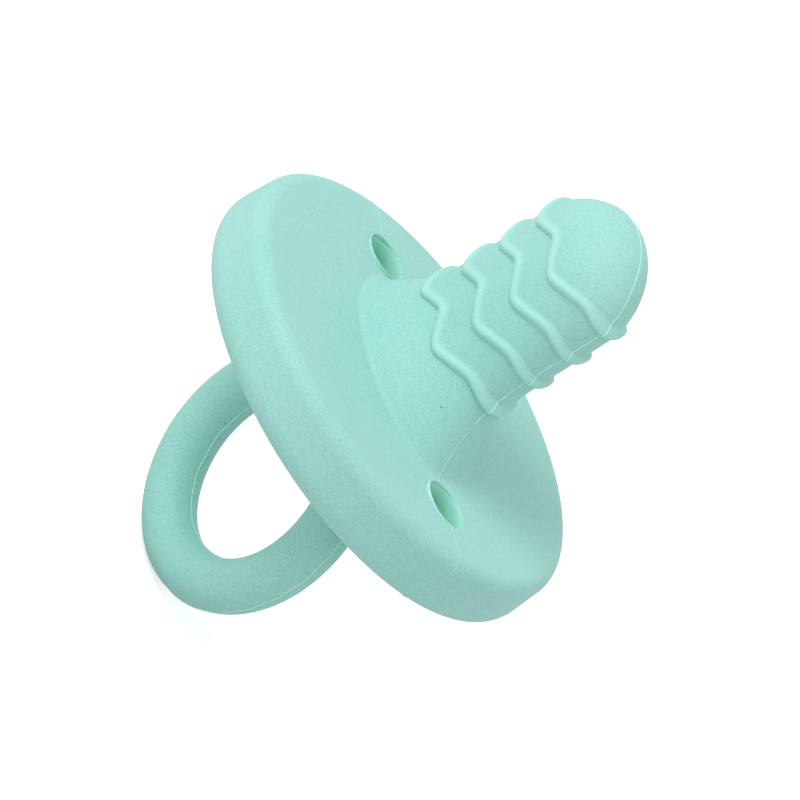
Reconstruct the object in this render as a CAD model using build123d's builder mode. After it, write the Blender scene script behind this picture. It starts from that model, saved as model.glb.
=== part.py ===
# Silicone pacifier: round shield, flared teat root, ridged solid teat, ring handle.
# Millimetres.  +Z runs along the teat axis towards the tip.  The two vents lie on
# the X axis.  The origin is on the teat axis, in the plane of the shield's front rim.
# The y = 0 plane is the mould's parting plane; the ring lies in it.
import os
from math import sqrt

from build123d import *

os.makedirs("parts", exist_ok=True)

# ---------------------------------------------------------------- driving dimensions
# shield
SHIELD_R_FRONT = 22.5      # radius where the side wall meets the front rounding
SHIELD_R_BACK = 22.8       # radius at the back, the side wall flares slightly
SHIELD_T = 7.0             # rim plane to back face
FRONT_DISH = 0.3           # depth of the shallow dish in the front face
DISH_R = 13.0              # the dish is level out to this radius
FRONT_ROUND = 1.4          # rounding of the front rim
BACK_ROUND = 2.5           # rounding of the back rim

# vents
VENT_R = 2.5
VENT_X = 15.0
VENT_LIP = 0.35            # rounding of each vent's back edge

# Teat and root share an oval section, long along X.  Its narrow ends are turned
# about the teat axis, and its two long sides about axes at y = +-SIDE_Y.
OVAL = 0.652               # half width over half length of every section
SIDE_Y = 5.0
SIDE_OVER = 0.4            # the long sides' dome runs this far past the tip
TEAT_A = 7.7               # half length of the shaft's oval
DOME_Z = 18.9              # where the shaft turns into the dome
TIP_Z = 26.0               # tip of the teat
DOME_N = 1.9               # fullness of the dome, 2 is a plain oval
# places of the dome's points, as fractions of its height; the tip itself comes last
DOME_STEPS = (0.0, 0.15, 0.30, 0.45, 0.60, 0.73, 0.84, 0.92, 0.975)
# (z, half length of the oval) up the flare, from just behind the shield's front rim
FLARE = (
    (-0.30, 11.70), (0.50, 11.12), (1.60, 10.35), (2.80, 9.62), (4.00, 9.03),
    (5.40, 8.38), (6.80, 7.93), (8.20, 7.70),
)
TEAT_FLARE = FLARE[4:]     # the part of the flare that belongs to the teat
ROOT_Z, ROOT_A = FLARE[0]
SEAT_Z, SEAT_A = TEAT_FLARE[0]   # rim of the seat between root and teat

# zigzag gum ridges, each a wide low band with a narrower, higher band on it
RIDGE_H = 0.45             # how far the ridges stand proud
RIDGE_LAYERS = (           # (width, height above the teat)
    (1.2, RIDGE_H * 0.6),
    (0.75, RIDGE_H),
)
RIDGE_Z = (6.45, 10.90, 15.30, 19.60)   # mean height of each zigzag
# one ridge seen square to the parting plane: (x, height above its mean)
ZIGZAG = (
    (-8.8, 0.95), (-8.2, 0.95), (-4.5, -0.95), (-0.8, 0.95),
    (2.8, -0.95), (6.7, 0.95), (8.8, 0.55),
)

# flex lines
SWAY_Z = 9.0               # teat in root: egg-shaped seat, turns about Y
NOD_Z = 5.0                # root in shield: boat-shaped foot, turns about X
RING_HINGE_Z = -10.4       # ring in shield: boat-shaped saddle, turns about X
SADDLE_A = 8.4             # half length of the ring's oval saddle
SADDLE_B = 3.7             # half width of the ring's oval saddle
GAP = 0.05                 # radial clearance of shield and root hollows

# ring handle
RING_R = 11.05             # centreline radius
BAR_R = 2.6                # bar radius
RING_Z = -18.4             # centre of the ring

# cutters
CUT = 60.0                 # size of a cutting block, larger than any piece
OVER = 1.0                 # how far a cut or a hidden foot runs past its face
WALL_DEPTH = 12.0          # reach in Y of the ridge walls, past the teat's side


def boat_radii(half_length, half_width, rise):
    """Semi-axes of the oval that, turned about an X axis this high over a flat face,
    cuts the face in an oval of the given half length and half width."""
    radius = sqrt(rise ** 2 + half_width ** 2)
    return radius * half_length / half_width, radius


ROOT_BOAT = boat_radii(ROOT_A, ROOT_A * OVAL, NOD_Z + FRONT_DISH)
RING_BOAT = boat_radii(SADDLE_A, SADDLE_B, -SHIELD_T - RING_HINGE_Z)
SEAT_R = sqrt((SWAY_Z - SEAT_Z) ** 2 + SEAT_A ** 2)


# ---------------------------------------------------------------- shared solids
def save(part, name):
    part.label = name
    export_step(part, f"parts/{name}.step")


def block(z, height):
    """Cutting block standing on the level z; a negative height hangs it below."""
    with BuildPart() as body:
        with BuildSketch(Plane.XY.offset(z)):
            Rectangle(CUT, CUT)
        extrude(amount=height)
    return body.part


def boat(radii, hinge_z, cut_side, gap=0.0):
    """Half oval turned about the X direction at hinge_z.  The cut side of the oval is
    the upper one for Align.MIN and the lower one for Align.MAX."""
    with BuildPart() as body:
        with BuildSketch(Plane.XZ):
            with Locations((0, hinge_z)):
                Ellipse(radii[0] + gap, radii[1] + gap)
                Rectangle(CUT, CUT / 2, align=(Align.CENTER, cut_side), mode=Mode.SUBTRACT)
        revolve(axis=Axis((0, 0, hinge_z), (1, 0, 0)))
    return body.part


def egg(gap=0.0):
    """Egg turned about Y that the teat rocks on."""
    with BuildPart() as body:
        with BuildSketch(Plane.XY.offset(SWAY_Z)):
            Ellipse(SEAT_R + gap, SEAT_R * OVAL + gap)
            Rectangle(CUT, CUT, align=(Align.MAX, Align.CENTER), mode=Mode.SUBTRACT)
        revolve(axis=Axis((0, 0, SWAY_Z), (0, 1, 0)))
    return body.part


# ---------------------------------------------------------------- oval teat outline
def dome(half, grow, top):
    """(radius, z) points up a dome of this half section, grown outwards by grow."""
    points = [
        (half * (1.0 - step ** DOME_N) ** (1.0 / DOME_N), DOME_Z + (top - DOME_Z) * step)
        for step in DOME_STEPS
    ]
    # the foot moves straight out, to stay in line with the shaft
    grown = [(points[0][0] + grow, points[0][1])]
    for i in range(1, len(points)):
        # the others move square to the chord between their neighbours
        r_before, z_before = points[i - 1]
        r_after, z_after = points[min(i + 1, len(points) - 1)]
        dr, dz = r_after - r_before, z_after - z_before
        chord = sqrt(dr ** 2 + dz ** 2)
        r, z = points[i]
        grown.append((r + grow * dz / chord, z - grow * dr / chord))
    grown.append((0.0, top + grow))
    return grown


def turned(scale, axis_y, shift, grow, low, flare):
    """Flare, shaft and dome down to z = low, with half sections scaled, moved out by
    shift, grown by grow and turned about the vertical axis at y = axis_y."""
    out = shift + grow
    shaft_r = TEAT_A * scale + out
    # the long sides run past the tip, so that the tip belongs to the narrow ends
    crown = TIP_Z + (SIDE_OVER if shift else 0.0)
    flare_line = [(half * scale + out, z) for z, half in flare]
    dome_line = [(r + shift, z) for r, z in dome(TEAT_A * scale, grow, crown)]
    foot_line = [(0, crown + grow), (0, low), (flare_line[0][0], low)]
    if flare[0][0] - low > 0.001:
        foot_line.append(flare_line[0])
    with BuildPart() as body:
        with BuildSketch(Plane.XZ.offset(-axis_y)):
            with BuildLine():
                Polyline(*foot_line)
                Spline(*flare_line)
                Line((shaft_r, flare[-1][0]), (shaft_r, DOME_Z))
                Spline(*dome_line, tangents=[(0, 1), (-1, 0)])
                if shift:
                    Line(dome_line[-1], (0, crown + grow))
            make_face()
        revolve(axis=Axis((0, axis_y, 0), (0, 0, 1)))
    return body.part


def outline(grow, low, flare):
    """Oval body: narrow ends turned about the teat axis, long sides about +-SIDE_Y."""
    return (
        turned(1.0, 0.0, 0.0, grow, low, flare)
        & turned(OVAL, SIDE_Y, SIDE_Y, grow, low, flare)
        & turned(OVAL, -SIDE_Y, SIDE_Y, grow, low, flare)
    )


# ---------------------------------------------------------------- shield
def make_shield():
    """Dished disc with a flaring side wall, a hollow in each face and two vents."""
    root_hollow = boat(ROOT_BOAT, NOD_Z, Align.MIN, GAP)
    ring_hollow = boat(RING_BOAT, RING_HINGE_Z, Align.MAX, GAP)
    crest_r = SHIELD_R_FRONT - FRONT_ROUND
    back_r = SHIELD_R_BACK - BACK_ROUND
    back_round_z = -SHIELD_T + BACK_ROUND
    # inset of a quarter arc's midpoint from both sides of its corner, per unit radius
    arc_inset = 1 - sqrt(0.5)
    front_inset = FRONT_ROUND * arc_inset
    back_inset = BACK_ROUND * arc_inset

    with BuildPart() as shield:
        with BuildSketch(Plane.XZ):
            with BuildLine():
                Line((0, -FRONT_DISH), (DISH_R, -FRONT_DISH))
                Spline((DISH_R, -FRONT_DISH), (crest_r, 0), tangents=[(1, 0), (1, 0)])
                ThreePointArc(
                    (crest_r, 0),
                    (SHIELD_R_FRONT - front_inset, -front_inset),
                    (SHIELD_R_FRONT, -FRONT_ROUND),
                )
                Line((SHIELD_R_FRONT, -FRONT_ROUND), (SHIELD_R_BACK, back_round_z))
                ThreePointArc(
                    (SHIELD_R_BACK, back_round_z),
                    (SHIELD_R_BACK - back_inset, -SHIELD_T + back_inset),
                    (back_r, -SHIELD_T),
                )
                Polyline((back_r, -SHIELD_T), (0, -SHIELD_T), (0, -FRONT_DISH))
            make_face()
        revolve(axis=Axis.Z)
        add(root_hollow, mode=Mode.SUBTRACT)
        add(ring_hollow, mode=Mode.SUBTRACT)
        # two through vents on the parting line
        with BuildSketch(Plane.XY.offset(-SHIELD_T - OVER)):
            with Locations((-VENT_X, 0), (VENT_X, 0)):
                Circle(VENT_R)
        extrude(amount=SHIELD_T + 2 * OVER, mode=Mode.SUBTRACT)
        vent_back_edges = (
            shield.edges()
            .filter_by(GeomType.CIRCLE)
            .filter_by(lambda edge: abs(edge.radius - VENT_R) < 1e-3)
            .group_by(Axis.Z)[0]
        )
        fillet(vent_back_edges, VENT_LIP)
    return shield.part


# ---------------------------------------------------------------- teat root
def make_rocker():
    """Boat-shaped foot of the teat root, below the level of the shield's dish."""
    foot = boat(ROOT_BOAT, NOD_Z, Align.MIN)
    above_dish = block(-FRONT_DISH, CUT)
    with BuildPart() as rocker:
        add(foot)
        add(above_dish, mode=Mode.SUBTRACT)
    return rocker.part


def make_teat_root():
    """Oval flare on a boat-shaped rocker, with an egg-shaped seat in its top."""
    body = outline(0.0, ROOT_Z, FLARE)
    above_rim = block(SEAT_Z, CUT)
    rocker = make_rocker()
    hollow = egg(GAP)
    with BuildPart() as teat_root:
        add(body)
        add(above_rim, mode=Mode.SUBTRACT)
        add(rocker)
        add(hollow, mode=Mode.SUBTRACT)
    return teat_root.part


# ---------------------------------------------------------------- teat
def make_teat():
    """Oval shaft and dome, its foot rounded by the egg."""
    body = outline(0.0, SWAY_Z - SEAT_R - OVER, TEAT_FLARE)
    lower_block = block(SWAY_Z, -CUT)
    foot_egg = egg()
    with BuildPart() as below_egg:
        add(lower_block)
        add(foot_egg, mode=Mode.SUBTRACT)
    with BuildPart() as teat:
        add(body)
        add(below_egg.part, mode=Mode.SUBTRACT)
    return teat.part


# ---------------------------------------------------------------- zigzag ridges
def zigzag_walls(width, side):
    """Four zigzag walls of this width, from the parting plane out past the teat."""
    with BuildPart() as walls:
        with BuildSketch(Plane.XZ):
            for z in RIDGE_Z:
                with BuildLine():
                    low = Polyline(*[(x, z + rise - width / 2) for x, rise in ZIGZAG])
                    high = Polyline(*[(x, z + rise + width / 2) for x, rise in ZIGZAG])
                    Line(low @ 0, high @ 0)
                    Line(low @ 1, high @ 1)
                make_face()
        extrude(amount=side * WALL_DEPTH)
    return walls.part


def make_ridges(side, shells, core):
    """Ridges standing on the -Y (side = 1) or +Y (side = -1) half of the core."""
    layers = [
        zigzag_walls(width, side) & shell
        for (width, _), shell in zip(RIDGE_LAYERS, shells)
    ]
    with BuildPart() as bands:
        for layer in layers:
            add(layer)
        add(core, mode=Mode.SUBTRACT)
    return bands.part


# ---------------------------------------------------------------- ring handle
def make_ring_root():
    """Oval saddle sunk in the shield's back, a rocker about X."""
    saddle = boat(RING_BOAT, RING_HINGE_Z, Align.MAX)
    behind_shield = block(-SHIELD_T, -CUT)
    with BuildPart() as ring_root:
        add(saddle)
        add(behind_shield, mode=Mode.SUBTRACT)
    return ring_root.part


def make_ring_handle():
    """Round loop, its crown cut level where it meets the saddle."""
    above_back = block(-SHIELD_T, CUT)
    with BuildPart() as ring_handle:
        with BuildSketch(Plane.XY.offset(RING_Z)):
            with Locations((RING_R, 0)):
                Circle(BAR_R)
        revolve(axis=Axis((0, 0, RING_Z), (0, 1, 0)))
        add(above_back, mode=Mode.SUBTRACT)
    return ring_handle.part


# ---------------------------------------------------------------- pieces
save(make_shield(), "shield")
save(make_teat_root(), "teat_root")
save(make_teat(), "teat")

ridge_shells = [outline(height, SEAT_Z, TEAT_FLARE) for _, height in RIDGE_LAYERS]
ridge_core = outline(0.0, SEAT_Z - OVER, TEAT_FLARE)
save(make_ridges(1, ridge_shells, ridge_core), "ridges_front")
save(make_ridges(-1, ridge_shells, ridge_core), "ridges_back")

save(make_ring_root(), "ring_root")
save(make_ring_handle(), "ring_handle")
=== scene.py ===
"""A one-piece silicone soother: round shield, ridged teat and ring handle.

The shield lies flat in XY with its dished face at z = 0 and its back below. The teat rises
along +Z, wide in X and narrow in Y. The ring stands in the XZ plane under the shield.
The shape is a distance-like field in millimetres, negative inside, meshed at field = 0.
"""
import math
from functools import partial

import bmesh
import bpy
import numpy as np
from mathutils import Matrix, Vector


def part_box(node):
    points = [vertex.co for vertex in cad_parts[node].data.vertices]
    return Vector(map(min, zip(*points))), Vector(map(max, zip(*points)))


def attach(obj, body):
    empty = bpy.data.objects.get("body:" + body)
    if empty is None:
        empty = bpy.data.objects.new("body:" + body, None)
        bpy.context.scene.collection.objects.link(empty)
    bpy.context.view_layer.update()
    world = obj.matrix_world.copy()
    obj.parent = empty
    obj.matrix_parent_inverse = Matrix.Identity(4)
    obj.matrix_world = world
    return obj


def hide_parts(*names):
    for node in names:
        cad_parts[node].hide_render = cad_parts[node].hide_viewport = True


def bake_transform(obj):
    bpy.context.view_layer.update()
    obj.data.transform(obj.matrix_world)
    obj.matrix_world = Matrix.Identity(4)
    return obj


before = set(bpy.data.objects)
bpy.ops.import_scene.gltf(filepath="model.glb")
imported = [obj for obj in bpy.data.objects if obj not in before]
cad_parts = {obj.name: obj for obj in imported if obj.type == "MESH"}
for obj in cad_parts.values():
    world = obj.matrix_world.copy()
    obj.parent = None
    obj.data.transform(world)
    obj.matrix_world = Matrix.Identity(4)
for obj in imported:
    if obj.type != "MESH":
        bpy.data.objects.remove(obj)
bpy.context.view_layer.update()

MM = 0.001

# ------------------------------------------------------------------ dimensions, mm
shield_lo, shield_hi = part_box("shield")
teat_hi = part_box("teat")[1]
ring_lo, ring_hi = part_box("ring_handle")

# shield
R_BACK = shield_hi.x / MM
R_FRONT = R_BACK - 0.3
TAPER_DEPTH = 4.5                      # the side widens from R_FRONT to R_BACK over this
Z_BACK = shield_lo.z / MM
DISH, DISH_R, DISH_RIM = 0.3, 13.0, 21.0   # depth, radius of the flat floor, outer radius
FRONT_ROUND, BACK_ROUND = 1.5, 2.5
VENT_X, VENT_R = 15.0, 2.5
VENT_EDGE = 0.16

# ring
RING_OUTER = ring_hi.x / MM
BAR = ring_hi.y / MM                   # radius of the ring's round bar
RING_R = RING_OUTER - BAR
RING_Z = ring_lo.z / MM + RING_OUTER

# teat
TIP = teat_hi.z / MM
DOME_Z, DOME_POWER = 18.9, 1.9
# z, half-width in X, half-width in Y
TEAT_STATIONS = np.array([
    (-1.5, 12.6, 8.0), (-0.30, 11.70, 7.55), (0.50, 11.12, 7.25), (1.60, 10.35, 6.80),
    (2.80, 9.62, 6.30), (4.00, 9.03, 5.87), (5.40, 8.38, 5.42), (6.80, 7.93, 5.15),
    (8.20, 7.74, 5.05), (9.5, 7.70, 5.03), (30.0, 7.70, 5.03),
])
RIDGE_HEIGHT, RIDGE_HALF = 0.50, 0.64
RIDGE_Z = (6.45, 10.90, 15.30, 19.60)
# x, rise of a ridge above its own height
ZIGZAG = np.array([
    (-12.0, -1.02), (-8.35, 1.02), (-4.55, -1.02), (-0.85, 1.02),
    (2.85, -1.02), (6.65, 1.00), (10.5, -0.55), (12.0, -0.8),
])

# joints
INNER_END_Z = -3.0                     # teat and ring both end here, inside the shield
TEAT_FILLET, RING_FILLET = 0.38, 1.15
SEAM_TEAT = 4.62                       # heights where the skin is cut into pieces
SEAM_RING = Z_BACK - 0.32

# grid cell of the two surface meshes
CELL_BODY, CELL_TEAT = ((0.23, 0.15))


# ------------------------------------------------------------------ the field
def smooth_table(x, y, lo, hi, count, sigma):
    """A polyline sampled evenly and rounded at its corners."""
    grid = np.linspace(lo, hi, count)
    values = np.interp(grid, x, y)
    step = grid[1] - grid[0]
    reach = int(4 * sigma / step)
    offsets = np.arange(-reach, reach + 1) * step
    weights = np.exp(-0.5 * (offsets / sigma) ** 2)
    padded = np.pad(values, len(offsets) // 2, mode="edge")
    return grid, np.convolve(padded, weights / weights.sum(), mode="valid")


def smooth_half_width(column):
    return smooth_table(TEAT_STATIONS[:, 0], TEAT_STATIONS[:, column], -1.5, 30.0, 1576, 0.45)


ZIG_X, ZIG_RISE = smooth_table(ZIGZAG[:, 0], ZIGZAG[:, 1], -11.5, 11.5, 1151, 0.50)
ZIG_SLOPE = np.gradient(ZIG_RISE, ZIG_X)
TEAT_Z, TEAT_HALF_X = smooth_half_width(1)
TEAT_HALF_Y = smooth_half_width(2)[1]


def round_both(a, b, radius):
    """Where both are inside, with the outer corner rounded."""
    outside = np.sqrt(np.maximum(a + radius, 0) ** 2 + np.maximum(b + radius, 0) ** 2)
    return np.minimum(np.maximum(a, b), -radius) + outside


def fillet_either(a, b, radius):
    """Where either is inside, with the inner corner filled."""
    inside = np.sqrt(np.maximum(radius - a, 0) ** 2 + np.maximum(radius - b, 0) ** 2)
    return np.maximum(np.minimum(a, b), radius) - inside


def ridge_profile(x, z, facing_y=0.8):
    """1 along the crest of a ridge, 0 from its foot outwards."""
    rise = np.interp(x, ZIG_X, ZIG_RISE)
    slope = np.interp(x, ZIG_X, ZIG_SLOPE) * facing_y
    lean = 1.0 / np.sqrt(1.0 + slope ** 2)
    nearest = np.full(np.shape(z), 9.0)
    for ridge_z in RIDGE_Z:
        nearest = np.minimum(nearest, np.abs(z - ridge_z - rise) * lean)
    across = np.clip(nearest / RIDGE_HALF, 0, 1)
    return (1 - across ** 2.4) ** 1.15


def teat_field(x, y, z):
    """Elliptical shaft under a superelliptic dome, with zigzag ridges on both Y halves."""
    half_x = np.interp(z, TEAT_Z, TEAT_HALF_X)
    half_y = np.interp(z, TEAT_Z, TEAT_HALF_Y)
    dome_height = TIP - DOME_Z
    ellipse = np.sqrt((x / half_x) ** 2 + (y / half_y) ** 2) + 1e-9
    climb = np.clip((z - DOME_Z) / dome_height, 0, None)
    size = (ellipse ** DOME_POWER + climb ** DOME_POWER) ** (1 / DOME_POWER)
    # dividing by the slope of size turns it into a distance
    by_ellipse = (ellipse / size) ** (DOME_POWER - 1)
    by_z = np.where(climb > 0, (climb / size) ** (DOME_POWER - 1), 0.0) / dome_height
    slope_x = x / (half_x * half_x * ellipse)
    slope_y = y / (half_y * half_y * ellipse)
    slope = np.sqrt(by_ellipse ** 2 * (slope_x ** 2 + slope_y ** 2) + by_z ** 2) + 1e-6
    distance = (size - 1) / np.maximum(slope, 0.04)
    facing_y = np.abs(slope_y) / np.sqrt(slope_x ** 2 + slope_y ** 2 + 1e-12)
    return distance - RIDGE_HEIGHT * ridge_profile(x, z, facing_y)


def dish_height(radius):
    """Height of the shield's face at a radius: dished in the middle, 0 at the rim."""
    u = np.clip((radius - DISH_R) / (DISH_RIM - DISH_R), 0, 1)
    return -DISH * (1 - u * u * (3 - 2 * u))


def shield_field(x, y, z):
    radius = np.sqrt(x * x + y * y)
    # 0.998 allows for the lean of the side
    side = (radius - (R_FRONT - z * (R_BACK - R_FRONT) / TAPER_DEPTH)) * 0.998
    front = round_both(z - dish_height(radius), side, FRONT_ROUND)
    return round_both(front, Z_BACK - z, BACK_ROUND)


def vent_distance(x, y):
    """Distance from the axis of the nearer vent."""
    return np.sqrt((np.abs(x) - VENT_X) ** 2 + y * y)


def ring_field(x, y, z):
    from_bar = np.sqrt(x * x + (z - RING_Z) ** 2) - RING_R
    return np.sqrt(from_bar * from_bar + y * y) - BAR


def field(points):
    """The whole moulding; points is (n, 3) in mm."""
    x, y, z = points[:, 0], points[:, 1], points[:, 2]
    teat = np.maximum(teat_field(x, y, z), INNER_END_Z - z)
    body = fillet_either(shield_field(x, y, z), teat, TEAT_FILLET)
    body = round_both(body, VENT_R - vent_distance(x, y), VENT_EDGE)
    ring = np.maximum(ring_field(x, y, z), z - INNER_END_Z)
    return fillet_either(body, ring, RING_FILLET)


def gradient(points, reach=0.02):
    result = np.empty_like(points)
    for axis in range(3):
        shift = np.zeros(3)
        shift[axis] = reach
        result[:, axis] = (field(points + shift) - field(points - shift)) / (2 * reach)
    return result


def unit(rows):
    return rows / (np.linalg.norm(rows, axis=1, keepdims=True) + 1e-12)


def settle(points, rounds=4, limit=0.2):
    """Moves points onto the surface by Newton steps no longer than the limit."""
    for _ in range(rounds):
        value = field(points)
        slope = gradient(points)
        step = (value / np.maximum((slope * slope).sum(1), 0.05))[:, None] * slope
        length = np.linalg.norm(step, axis=1, keepdims=True)
        points = points - step * np.minimum(1.0, limit / np.maximum(length, 1e-9))
    return points


# ------------------------------------------------------------------ surface of the field
BLOCK = 12                             # grid points along a block's edge
FAR = 9.0                              # stands for any value far from the surface


def grid_indices(shape):
    axes = np.meshgrid(*[np.arange(count) for count in shape], indexing="ij")
    return np.stack(axes, -1).reshape(-1, 3)


def sample_field(lo, hi, cell):
    """The field on a grid over the box, worked out only in blocks near the surface."""
    counts = np.ceil((hi - lo) / cell).astype(int) + 1
    block_counts = np.ceil(counts / BLOCK).astype(int)
    values = np.full(tuple(block_counts * BLOCK), FAR, np.float32)
    blocks = grid_indices(block_counts)
    at_centre = field(lo + (blocks * BLOCK + (BLOCK - 1) / 2) * cell)
    offsets = grid_indices([BLOCK] * 3)
    # a block's half diagonal, with a margin because the field isn't an exact distance
    reach = BLOCK * cell * 0.5 * 1.732 * 1.35 + 0.6
    for block, centre_value in zip(blocks, at_centre):
        part = tuple(slice(i * BLOCK, i * BLOCK + BLOCK) for i in block)
        if abs(centre_value) > reach:
            values[part] = FAR if centre_value > 0 else -FAR
        else:
            points = lo + (block * BLOCK + offsets) * cell
            values[part] = field(points).reshape(BLOCK, BLOCK, BLOCK)
    return values


def cell_points(values, cells):
    """The mean of the surface crossings on each cell's edges, in cell units."""
    total = np.zeros((len(cells), 3))
    count = np.zeros(len(cells))
    for start in np.ndindex(2, 2, 2):
        for axis in range(3):
            if start[axis]:
                continue
            end = list(start)
            end[axis] = 1
            at_start, at_end = (
                values[tuple((cells + corner).T)].astype(float) for corner in (start, end))
            crossed = (at_start < 0) != (at_end < 0)
            drop = at_start - at_end
            points = np.tile(np.array(start, float), (len(cells), 1))
            points[:, axis] = np.where(
                crossed, at_start / np.where(np.abs(drop) < 1e-12, 1, drop), 0)
            total += points * crossed[:, None]
            count += crossed
    return total / count[:, None]


def surface(lo, hi, cell):
    """Quad mesh of field = 0 in the box: one vertex per cell that the surface crosses."""
    values = sample_field(lo, hi, cell)
    inside = values < 0
    shape = tuple(count - 1 for count in values.shape)
    corners_inside = np.zeros(shape, np.int8)
    for corner in np.ndindex(2, 2, 2):
        corners_inside += inside[tuple(slice(c, c + n) for c, n in zip(corner, shape))]
    active = (corners_inside > 0) & (corners_inside < 8)
    cells = np.argwhere(active)
    vertex_of = np.full(shape, -1, np.int64)
    vertex_of[active] = np.arange(len(cells))
    verts = lo + (cells + cell_points(values, cells)) * cell

    # one quad round each grid edge that the surface crosses, joining its four cells
    quads = []
    for axis in range(3):
        first, second = [i for i in range(3) if i != axis]
        start, end = [slice(None)] * 3, [slice(None)] * 3
        start[axis], end[axis] = slice(0, -1), slice(1, None)
        starts_inside = inside[tuple(start)]
        edges = np.argwhere(starts_inside != inside[tuple(end)])
        keep = (edges[:, first] > 0) & (edges[:, second] > 0)
        keep &= (edges[:, first] < shape[first]) & (edges[:, second] < shape[second])
        edges = edges[keep]
        outward = starts_inside[tuple(edges.T)]
        if axis == 1:
            outward = ~outward
        columns = []
        for back_first, back_second in ((1, 1), (0, 1), (0, 0), (1, 0)):
            neighbour = edges.copy()
            neighbour[:, first] -= back_first
            neighbour[:, second] -= back_second
            columns.append(vertex_of[tuple(neighbour.T)])
        quad = np.stack(columns, 1)
        quad[~outward] = quad[~outward][:, ::-1]
        quads.append(quad)
    return verts, np.concatenate(quads)


def relax(verts, quads, rounds=3):
    """Evens out the quads along the surface."""
    edges = np.concatenate([quads[:, [i, (i + 1) % 4]] for i in range(4)])
    start, end = edges[:, 0], edges[:, 1]
    count = len(verts)
    degree = np.bincount(edges.ravel(), minlength=count).astype(float)
    for _ in range(rounds):
        total = np.zeros_like(verts)
        for i in range(3):
            total[:, i] = (np.bincount(start, verts[end, i], count)
                           + np.bincount(end, verts[start, i], count))
        move = total / degree[:, None] - verts
        normal = unit(gradient(verts))
        move -= (move * normal).sum(1, keepdims=True) * normal
        verts = settle(verts + 0.5 * move, 1)
    return settle(verts, 2)


def skin(lo, hi, cell):
    verts, quads = surface(np.array(lo), np.array(hi), cell)
    return relax(settle(verts, 3, 0.25), quads), quads


# ------------------------------------------------------------------ meshes
def link_object(name, mesh):
    ob = bpy.data.objects.new(name, mesh)
    bpy.context.scene.collection.objects.link(ob)
    return ob


def shade_smooth(mesh):
    mesh.polygons.foreach_set("use_smooth", np.ones(len(mesh.polygons), bool))


def add_tints(mesh, points):
    """Point attributes that the silicone material reads."""
    x, y, z = points.T
    from_vent = vent_distance(x, y)
    above_back = z > Z_BACK
    tints = {
        # depth down inside a vent, for the painted shade that darkens the vent walls with
        # depth
        "painted_vent_shade": np.clip((-0.5 - z) / 3.2, 0, 1) * (from_vent < VENT_R + 0.2) * above_back,
        # light that seeps through the vent walls: full at the mouth, less with depth
        "seep": np.exp(-np.clip(-0.35 - z, 0, None) / 0.95)
        * (from_vent < VENT_R + 0.04) * above_back * (z < 0.1),
        # painted highlight along the crests of the raised ridges, paler than the teat between
        # them
        "crest_highlight": ridge_profile(x, z) * (z > SEAM_TEAT - 0.3) * (np.hypot(x, y) < 10.5),
    }
    for name, values in tints.items():
        attribute = mesh.attributes.new(name, "FLOAT", "POINT")
        attribute.data.foreach_set("value", values.astype(np.float32))


def finish_mesh(mesh, planes):
    """Tints, normals from the field but flat on the caps, then millimetres to metres."""
    points = np.empty(len(mesh.vertices) * 3, np.float32)
    mesh.vertices.foreach_get("co", points)
    points = points.reshape(-1, 3).astype(float)
    add_tints(mesh, points)
    shade_smooth(mesh)
    loop_verts = np.empty(len(mesh.loops), np.int32)
    mesh.loops.foreach_get("vertex_index", loop_verts)
    normals = unit(gradient(points, 0.03))[loop_verts]
    for polygon in mesh.polygons:
        for z, sign in planes:
            if abs(polygon.center.z - z) < 1e-4 and abs(polygon.normal.z) > 0.99:
                for i in polygon.loop_indices:
                    normals[i] = (0, 0, sign)
    mesh.transform(Matrix.Scale(MM, 4))
    mesh.normals_split_custom_set(normals.tolist())
    mesh.update()


def cut(name, verts, quads, bottom=-math.inf, top=math.inf):
    """The part of the surface between two heights, closed by flat caps at the cuts."""
    planes = [(z, sign) for z, sign in ((bottom, -1), (top, 1)) if math.isfinite(z)]
    heights = verts[:, 2][quads]
    kept = quads[(heights.max(1) > bottom) & (heights.min(1) < top)]
    used, renumbered = np.unique(kept, return_inverse=True)
    mesh = bpy.data.meshes.new(name)
    mesh.from_pydata(verts[used].tolist(), [], renumbered.reshape(kept.shape).tolist())
    bm = bmesh.new()
    bm.from_mesh(mesh)
    for z, sign in planes:
        bmesh.ops.bisect_plane(
            bm, geom=bm.verts[:] + bm.edges[:] + bm.faces[:], dist=1e-6,
            plane_co=(0, 0, z), plane_no=(0, 0, sign), clear_outer=True, clear_inner=False)
        rim = [edge for edge in bm.edges
               if edge.is_boundary and all(abs(v.co.z - z) < 1e-4 for v in edge.verts)]
        bmesh.ops.holes_fill(bm, edges=rim, sides=0)
    bmesh.ops.triangulate(bm, faces=[face for face in bm.faces if len(face.verts) > 4])
    bmesh.ops.recalc_face_normals(bm, faces=bm.faces[:])
    bm.to_mesh(mesh)
    bm.free()
    mesh.update()
    finish_mesh(mesh, planes)
    return link_object(name, mesh)


def smooth_object(name, verts, faces):
    """A smooth-shaded object from vertices in mm."""
    mesh = bpy.data.meshes.new(name)
    mesh.from_pydata((verts * MM).tolist(), [], faces)
    bm = bmesh.new()
    bm.from_mesh(mesh)
    bmesh.ops.recalc_face_normals(bm, faces=bm.faces[:])
    bm.to_mesh(mesh)
    bm.free()
    shade_smooth(mesh)
    return link_object(name, mesh)


def tube_faces(rings, sides, closed=True):
    """Quads between successive rings of vertices, with end caps if the tube is open."""
    faces = []
    for i in range(rings if closed else rings - 1):
        here, there = i * sides, (i + 1) % rings * sides
        for j in range(sides):
            k = (j + 1) % sides
            faces.append((here + j, there + j, there + k, here + k))
    if not closed:
        faces.append(tuple(range(sides - 1, -1, -1)))
        faces.append(tuple((rings - 1) * sides + j for j in range(sides)))
    return faces


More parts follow.
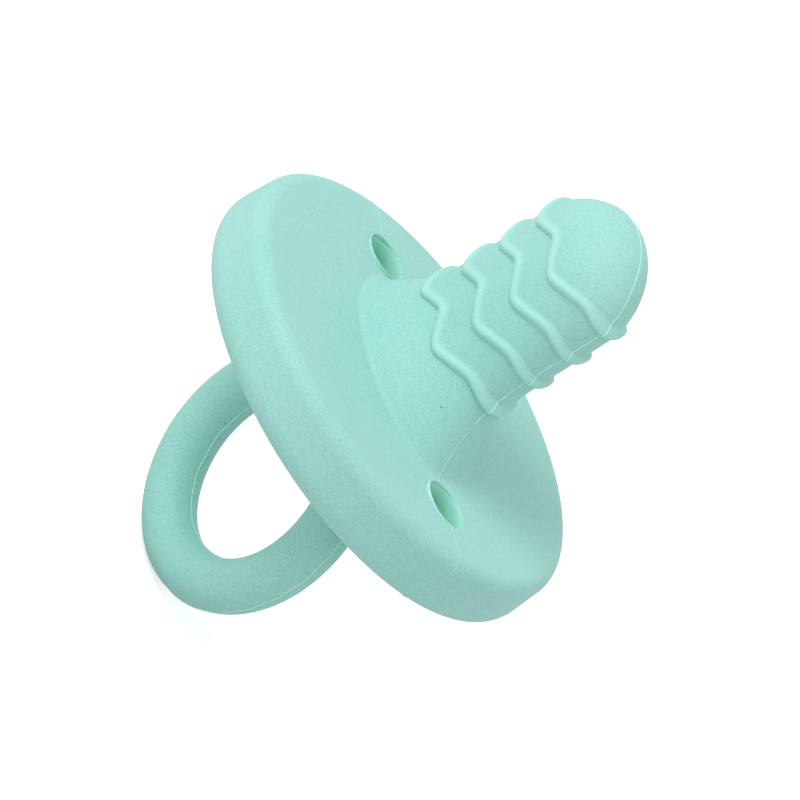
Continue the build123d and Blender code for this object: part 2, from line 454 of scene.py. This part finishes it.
# Box corners sit off round values, so grid points miss the planes of symmetry.
body_mesh = skin((-23.987, -23.987, -33.387), (24.0, 24.0, 6.2), CELL_BODY)
teat_mesh = skin((-10.987, -8.987, 3.413), (11.0, 9.0, 27.2), CELL_TEAT)
body_skin = cut("shield_and_root_skin", *body_mesh, bottom=SEAM_RING, top=SEAM_TEAT)
teat_skin = cut("teat_skin", *teat_mesh, bottom=SEAM_TEAT)
ring_skin = cut("ring_skin", *body_mesh, top=SEAM_RING)


# ------------------------------------------------------------------ mould parting line
BEAD_SIDES = 7
BEAD_SINK = 0.02
BEAD_STEP = 0.16


def parting_paths():
    """Where the surface meets the y = 0 plane: (points as x and z, closed or not)."""
    step, shift = 0.12, 0.003
    xs = np.arange(-24, 24 + step, step) + shift
    zs = np.arange(-33.4, 27.2, step) + shift
    X, Z = np.meshgrid(xs, zs, indexing="ij")
    flat = np.stack([X.ravel(), np.zeros(X.size), Z.ravel()], 1)
    values = field(flat).reshape(X.shape)
    inside = values < 0
    corner = inside[:-1, :-1]
    mixed = ((corner != inside[1:, :-1]) | (corner != inside[:-1, 1:])
             | (corner != inside[1:, 1:]))
    # each crossed grid edge is a point, and each square links the two on its sides
    links, points = {}, {}
    for i, j in np.argwhere(mixed):
        crossed = []
        for edge in (((i, j), (i + 1, j)), ((i, j + 1), (i + 1, j + 1)),
                     ((i, j), (i, j + 1)), ((i + 1, j), (i + 1, j + 1))):
            start, end = edge
            if inside[start] != inside[end]:
                t = values[start] / (values[start] - values[end])
                points[edge] = (xs[start[0]] + (xs[end[0]] - xs[start[0]]) * t,
                                zs[start[1]] + (zs[end[1]] - zs[start[1]]) * t)
                crossed.append(edge)
        if len(crossed) == 2:
            links.setdefault(crossed[0], []).append(crossed[1])
            links.setdefault(crossed[1], []).append(crossed[0])
    paths, seen = [], set()
    for first in links:
        if first in seen:
            continue
        chain = [first]
        seen.add(first)
        while True:
            onward = [edge for edge in links[chain[-1]] if edge not in seen]
            if not onward:
                break
            chain.append(onward[0])
            seen.add(onward[0])
        closed = first in links[chain[-1]] and len(chain) > 3
        paths.append((np.array([points[edge] for edge in chain]), closed))
    return paths


def split_by(path, closed, test):
    """Stretches of a path where the test holds."""
    passed = test(path[:, 0], path[:, 1])
    if passed.all():
        return [(path, closed)]
    if not passed.any():
        return []
    if closed:
        start = int(np.argmin(passed))
        path = np.roll(path, -start, 0)
        passed = np.roll(passed, -start)
    runs, run = [], []
    for i in range(len(path)):
        if passed[i]:
            run.append(i)
        elif run:
            runs.append(run)
            run = []
    if run:
        runs.append(run)
    return [(path[run], False) for run in runs if len(run) > 5]


def resample(path, step, closed):
    full = np.vstack([path, path[:1]]) if closed else path
    along = np.r_[0, np.cumsum(np.linalg.norm(np.diff(full, axis=0), axis=1))]
    count = max(4, int(along[-1] / step))
    stops = np.linspace(0, along[-1], count, endpoint=not closed)
    return np.stack([np.interp(stops, along, full[:, i]) for i in range(2)], 1)


def wobble(along):
    """The line strays a little to either side in Y."""
    return 0.05 * np.sin(along * 1.9 + 0.4) + 0.03 * np.sin(along * 5.3 + 1.0)


def bead(points, closed, radius):
    """Vertices and faces of a thin raised bead along a path on the surface, in mm."""
    points = settle(points, 3)
    normal = unit(gradient(points))
    if closed:
        tangent = np.roll(points, -1, 0) - np.roll(points, 1, 0)
    else:
        tangent = np.gradient(points, axis=0)
    side = unit(np.cross(unit(tangent), normal))
    lines = []
    for i in range(BEAD_SIDES):
        angle = 2 * math.pi * i / BEAD_SIDES
        spoke = side * math.cos(angle) + normal * math.sin(angle)
        lines.append(points - normal * BEAD_SINK + radius[:, None] * spoke)
    verts = np.stack(lines, 1).reshape(-1, 3)
    return verts, tube_faces(len(points), BEAD_SIDES, closed)


def parting_line(name, paths, test, base_radius, tapered):
    """All the beads of one piece, as one object."""
    verts, faces, offset = [], [], 0
    for path, path_closed in paths:
        if len(path) < 12:
            continue
        for part, closed in split_by(path, path_closed, test):
            x, z = resample(part, BEAD_STEP, closed).T
            index = np.arange(len(x))
            radius = base_radius + 0.018 * np.sin(index * 0.11) * np.sin(index * 0.037 + 1)
            if tapered and not closed:
                to_end = np.minimum(index, len(x) - 1 - index)
                radius = radius * np.minimum(1, to_end / 3 + 0.35)
            line = np.stack([x, wobble(z + 0.3 * x), z], 1)
            new_verts, new_faces = bead(line, closed, radius)
            verts.append(new_verts)
            faces += [tuple(i + offset for i in face) for face in new_faces]
            offset += len(new_verts)
    return smooth_object(name, np.concatenate(verts), faces)


def on_shield(x, z):
    """Between the seams and clear of the vents."""
    clear = (np.abs(np.abs(x) - VENT_X) > VENT_R + 0.1) | (np.abs(z + 3.5) > 3.9)
    return (z > SEAM_RING + 0.02) & (z < SEAM_TEAT - 0.02) & clear


paths = parting_paths()
shield_line = parting_line(
    "parting_line_shield", paths, on_shield, base_radius=0.075, tapered=True)
teat_line = parting_line(
    "parting_line_teat", paths, lambda x, z: z > SEAM_TEAT, base_radius=0.092, tapered=False)
ring_line = parting_line(
    "parting_line_ring", paths, lambda x, z: z < SEAM_RING, base_radius=0.092, tapered=False)


# ------------------------------------------------------------------ lips round the vents
def vent_lip(name, centre_x):
    """Thin lip of flash that stands round a vent's mouth, highest on its -Y side."""
    rings, sides = 120, 14
    base_z = dish_height(VENT_X) - 0.10
    root_depth = 0.25
    verts = []
    for i in range(rings):
        turn = 2 * math.pi * i / rings
        far = 0.5 + 0.5 * math.sin(turn)        # 0 on the -Y side, 1 on the +Y side
        height = 0.09 + 0.26 * (1 - far) + 0.012 * math.sin(5 * turn + centre_x)
        half_width = 0.125 - 0.095 * far
        for j in range(sides):
            angle = 2 * math.pi * j / sides
            radius = VENT_R + 0.01 + 0.05 * far + half_width * math.cos(angle)
            reach = height if math.sin(angle) > 0 else root_depth
            verts.append((centre_x + radius * math.cos(turn), radius * math.sin(turn),
                          base_z + reach * math.sin(angle)))
    return smooth_object(name, np.array(verts), tube_faces(rings, sides))


lip_right = vent_lip("vent_lip_right", VENT_X)
lip_left = vent_lip("vent_lip_left", -VENT_X)


# ------------------------------------------------------------------ material
SPECK = (0.05, 0.12, 0.11, 1)
# painted highlight colour for the ridge crests
CREST_HIGHLIGHT = (0.415, 0.775, 0.700, 1)
# painted shade colour for deep inside the vents
VENT_PAINTED_SHADE = (0.16, 0.56, 0.34, 1)
SEEP_GLOW = (0.115, 0.235, 0.200, 1)


def add_node(tree, kind, inputs=None, **settings):
    """A new node; each input is given a value, or a socket to link from."""
    node = tree.nodes.new(kind)
    for key, value in settings.items():
        setattr(node, key, value)
    for key, value in (inputs or {}).items():
        if isinstance(value, bpy.types.NodeSocket):
            tree.links.new(value, node.inputs[key])
        else:
            node.inputs[key].default_value = value
    return node


def silicone(name, base, lift=1.0, seed=0.0, rough=0.52):
    """Matt silicone; lift brightens the base colour and seed shifts the textures."""
    material = bpy.data.materials.new(name)
    material.use_nodes = True
    tree = material.node_tree
    tree.nodes.clear()
    add = partial(add_node, tree)
    place = add("ShaderNodeMapping", {
        "Vector": add("ShaderNodeTexCoord").outputs["Object"],
        "Location": (seed, seed * 0.7, seed * 1.3)}).outputs[0]

    def noise(scale, detail, roughness=0.5):
        return add("ShaderNodeTexNoise", {
            "Vector": place, "Scale": scale, "Detail": detail,
            "Roughness": roughness}).outputs["Fac"]

    def map_range(value, source, target):
        return add("ShaderNodeMapRange", {
            "Value": value, "From Min": source[0], "From Max": source[1],
            "To Min": target[0], "To Max": target[1]}).outputs[0]

    def combine(operation, first, second):
        return add("ShaderNodeMath", {0: first, 1: second}, operation=operation).outputs[0]

    def mix_colour(factor, first, second):
        # sockets 0, 6 and 7 are the factor and the two colours; output 2 is the colour
        return add("ShaderNodeMix", {0: factor, 6: first, 7: second},
                   data_type="RGBA").outputs[2]

    def attribute(name):
        return add("ShaderNodeAttribute", attribute_name=name).outputs["Fac"]

    def bump(height, strength, distance, **inputs):
        return add("ShaderNodeBump", {
            "Height": height, "Strength": strength, "Distance": distance,
            **inputs}).outputs[0]

    def tinted(*factors):
        return (*(channel * factor * lift for channel, factor in zip(base, factors)), 1)

    cloud = noise(scale=120.0, detail=3.0)
    grain = noise(scale=5200.0, detail=2.0, roughness=0.6)
    matt = noise(scale=2100.0, detail=3.0, roughness=0.55)

    # colour: soft clouding and a fine powdery grain
    ramp = add("ShaderNodeValToRGB", {0: cloud})
    dark, light = ramp.color_ramp.elements
    dark.position, light.position = 0.30, 0.72
    dark.color = tinted(0.965, 0.985, 0.98)
    light.color = tinted(1.035, 1.012, 1.015)
    powder = map_range(grain, (0.25, 0.75), (0.885, 1.115))
    colour = add("ShaderNodeVectorMath", {0: ramp.outputs[0], "Scale": powder},
                 operation="SCALE").outputs[0]

    # sparse specks of lint: small spots in the few cells with a high random value
    stretched = add("ShaderNodeVectorMath", {0: place, 1: (1.0, 0.55, 1.6)},
                    operation="MULTIPLY").outputs[0]
    voronoi = add("ShaderNodeTexVoronoi", {"Vector": stretched, "Scale": 260.0})
    spot = map_range(voronoi.outputs["Distance"], (0.028, 0.052), (1.0, 0.0))
    cell_value = add("ShaderNodeSeparateColor", {0: voronoi.outputs["Color"]}).outputs[0]
    rare = combine("GREATER_THAN", cell_value, 0.90)
    lint = combine("MULTIPLY", combine("MULTIPLY", spot, rare), 0.55)
    colour = mix_colour(lint, colour, SPECK)

    # painted highlight on the ridge crests, painted shade deeper down the vent walls
    # painted highlight along the ridge crests
    crest = combine("MULTIPLY", attribute("crest_highlight"), 0.62)
    colour = mix_colour(crest, colour, CREST_HIGHLIGHT)
    # painted shade: the vent walls turn a darker green with depth
    colour = mix_colour(attribute("painted_vent_shade"), colour, VENT_PAINTED_SHADE)

    # mould texture: very fine matt grain under a coarser one
    fine = bump(grain, strength=0.22, distance=0.00006)
    shader = add("ShaderNodeBsdfPrincipled", {
        "Base Color": colour,
        "Roughness": map_range(matt, (0.3, 0.7), (rough - 0.05, rough + 0.07)),
        "Normal": bump(matt, strength=0.18, distance=0.00015, Normal=fine),
        "IOR": 1.41,
        "Specular IOR Level": 0.38,
        "Subsurface Weight": 0.0,
        "Subsurface Radius": (0.35, 1.0, 0.8),
        "Subsurface Scale": 0.0011,
        "Emission Color": SEEP_GLOW,
        "Emission Strength": attribute("seep"),
        "Sheen Weight": 0.12,
        "Sheen Roughness": 0.55,
    })
    add("ShaderNodeOutputMaterial", {0: shader.outputs[0]})
    return material


body_silicone = silicone("mint_silicone", (0.321, 0.665, 0.603))
# paler copies of the silicone for the parting-line beads and vent lips, with painted
# highlight: the more lit copy on the teat and ring lines and the +X lip, the less lit copy on
# the shield line and the -X lip
flash_silicone_lit = silicone(
    "mint_silicone_flash_lit", (0.42, 0.74, 0.68), lift=1.12, seed=3.0, rough=0.45)
flash_silicone_less_lit = silicone(
    "mint_silicone_flash_less_lit", (0.36, 0.70, 0.635), lift=1.05, seed=5.0, rough=0.48)
for material, obs in (
        (body_silicone, (body_skin, teat_skin, ring_skin)),
        (flash_silicone_lit, (teat_line, ring_line, lip_right)),
        (flash_silicone_less_lit, (shield_line, lip_left))):
    for ob in obs:
        ob.data.materials.append(material)

# ------------------------------------------------------------------ bodies
for ob in (body_skin, shield_line):
    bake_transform(ob)
for ob in (teat_skin, teat_line):
    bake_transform(ob)
for ob in (ring_skin, ring_line):
    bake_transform(ob)
for ob in (lip_right, lip_left):
    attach(ob, "shield")
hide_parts("shield", "teat_root")
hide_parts("teat", "ridges_front", "ridges_back")
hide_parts("ring_root", "ring_handle")

# ------------------------------------------------------------------ stage, light, camera
# camera axes: its right, and the way back toward the viewer
right = Vector((0.17996, 0.60301, 0.77717)).normalized()
back = Vector((0.62587, -0.67972, 0.38246)).normalized()
up = back.cross(right).normalized()
right = up.cross(back).normalized()


def make_floor():
    """White floor just under the ring, with an added glow that only the camera sees."""
    gap = 0.00005
    bpy.ops.mesh.primitive_plane_add(size=8.0, location=(0, 0, ring_lo.z - gap))
    floor = bpy.context.object
    floor.name = "studio_floor"
    material = bpy.data.materials.new("floor_white")
    material.use_nodes = True
    tree = material.node_tree
    shader = tree.nodes["Principled BSDF"]
    shader.inputs["Base Color"].default_value = (0.75, 0.75, 0.75, 1)
    shader.inputs["Roughness"].default_value = 0.9
    shader.inputs["Specular IOR Level"].default_value = 0.1
    shader.inputs["Emission Color"].default_value = (1, 1, 1, 1)
    ray = add_node(tree, "ShaderNodeLightPath")
    glow = add_node(tree, "ShaderNodeMath", {0: ray.outputs["Is Camera Ray"], 1: 0.60},
                    operation="MULTIPLY")
    tree.links.new(glow.outputs[0], shader.inputs["Emission Strength"])
    floor.data.materials.append(material)


def make_world():
    """White all round: full strength to the camera, a little less as light."""
    world = bpy.data.worlds.new("studio")
    bpy.context.scene.world = world
    world.use_nodes = True
    tree = world.node_tree
    background = tree.nodes["Background"]
    background.inputs["Color"].default_value = (1.0, 1.0, 1.0, 1)
    ray = add_node(tree, "ShaderNodeLightPath")
    level = add_node(tree, "ShaderNodeMapRange", {
        "Value": ray.outputs["Is Camera Ray"], "To Min": 0.81, "To Max": 1.0})
    tree.links.new(level.outputs[0], background.inputs["Strength"])


def make_key_light():
    """A square soft box above the camera's view, aimed at the origin."""
    light = bpy.data.lights.new("key", "AREA")
    light.shape = "SQUARE"
    light.size = 0.40
    light.energy = 2.42
    ob = link_object("key", light)
    place = up * 0.60 + back * 0.45
    ob.location = place
    ob.rotation_euler = (-place).to_track_quat("-Z", "Y").to_euler()


def make_camera():
    camera = bpy.data.cameras.new("camera")
    camera.sensor_width = 36.0
    camera.lens = 486.35
    camera.clip_start = 0.01
    camera.clip_end = 20
    ob = link_object("camera", camera)
    place = Vector((0.62419, -0.67672, 0.37845))
    ob.matrix_world = Matrix((*zip(right, up, back, place), (0, 0, 0, 1)))
    bpy.context.scene.camera = ob


make_floor()
make_world()
make_key_light()
make_camera()
bpy.context.scene.view_settings.view_transform = "Standard"
bpy.context.scene.view_settings.look = "None"
